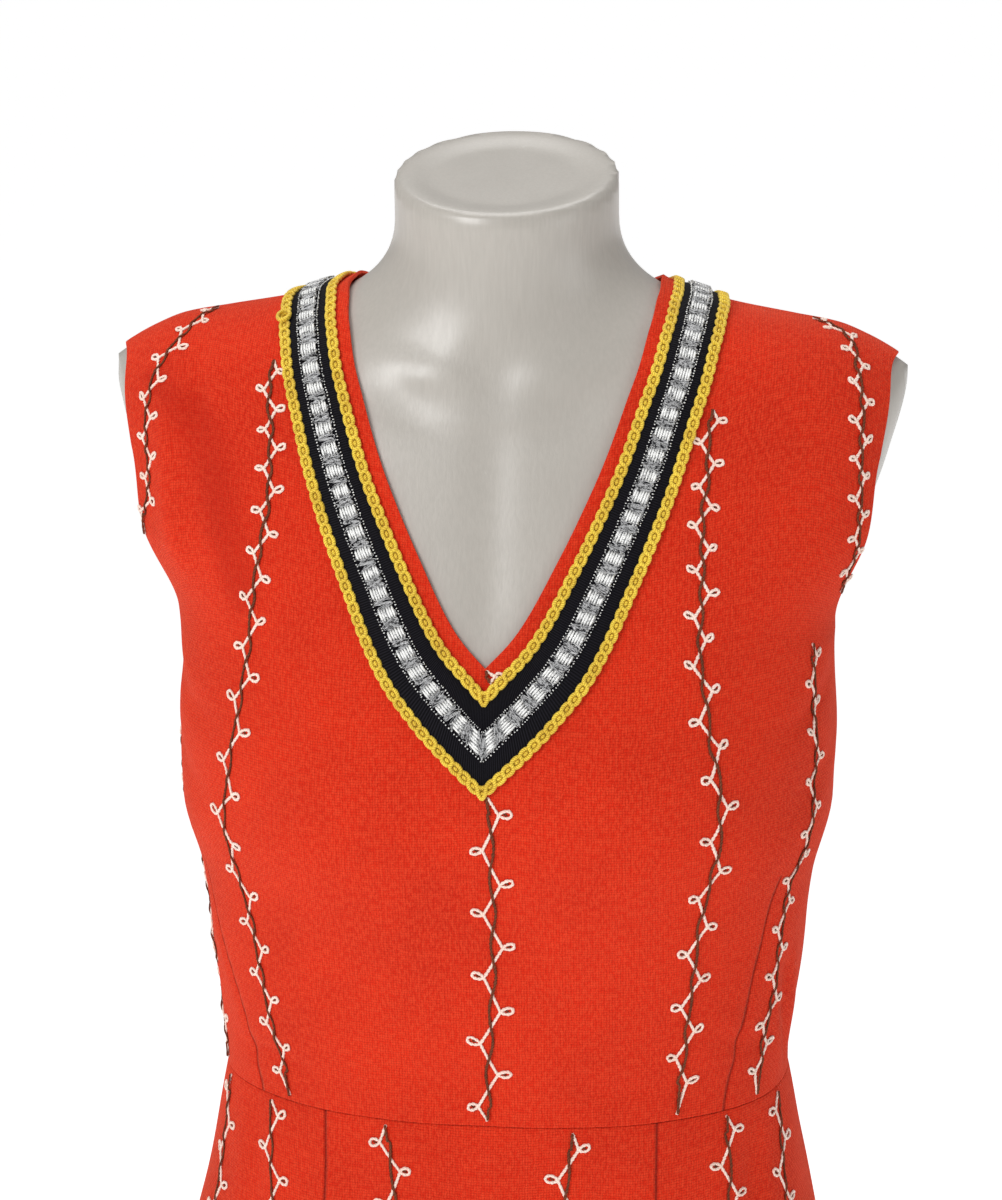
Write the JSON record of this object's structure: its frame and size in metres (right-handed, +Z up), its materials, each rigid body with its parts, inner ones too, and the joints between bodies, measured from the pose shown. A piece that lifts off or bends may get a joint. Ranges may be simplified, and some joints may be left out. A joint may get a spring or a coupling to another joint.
{
  "type": "wool folk dress on a limbless dress form",
  "caption": "Sleeveless wool dress with a braid-trimmed V neck, a fitted waist and an A-line skirt, resting on a smooth limbless dress form with a pole and a round base",
  "frame": {"origin": "the middle of the bounding box in plan, on the floor under the base", "axes": "+Z up; the front of the dress faces -Y; the wearer's left is +X"},
  "size_m": [0.5236, 0.4497, 1.4815],
  "materials": {
    "wool": "matt plain-woven wool, red with a touch of orange, with a short nap",
    "ribbon": "black ribbed ribbon with a slight sheen",
    "yellow_braid": "yellow gimp braid with a scalloped edge",
    "silver_braid": "silver metal-thread braid with raised blocks, sparkling",
    "plastic": "pale grey satin plastic",
    "painted_steel": "pale grey satin paint on steel"
  },
  "bodies": {
    "root": {"bodice_front": "wool", "bodice_back": "wool", "skirt_front": "wool", "skirt_back": "wool", "ribbon_black": "ribbon", "braid_yellow_inner": "yellow_braid", "braid_yellow_outer": "yellow_braid", "braid_silver": "silver_braid", "form_torso": "plastic", "stand_collar": "painted_steel", "stand_pole": "painted_steel", "stand_hub": "painted_steel", "stand_base": "painted_steel"}
  },
  "joints": []
}
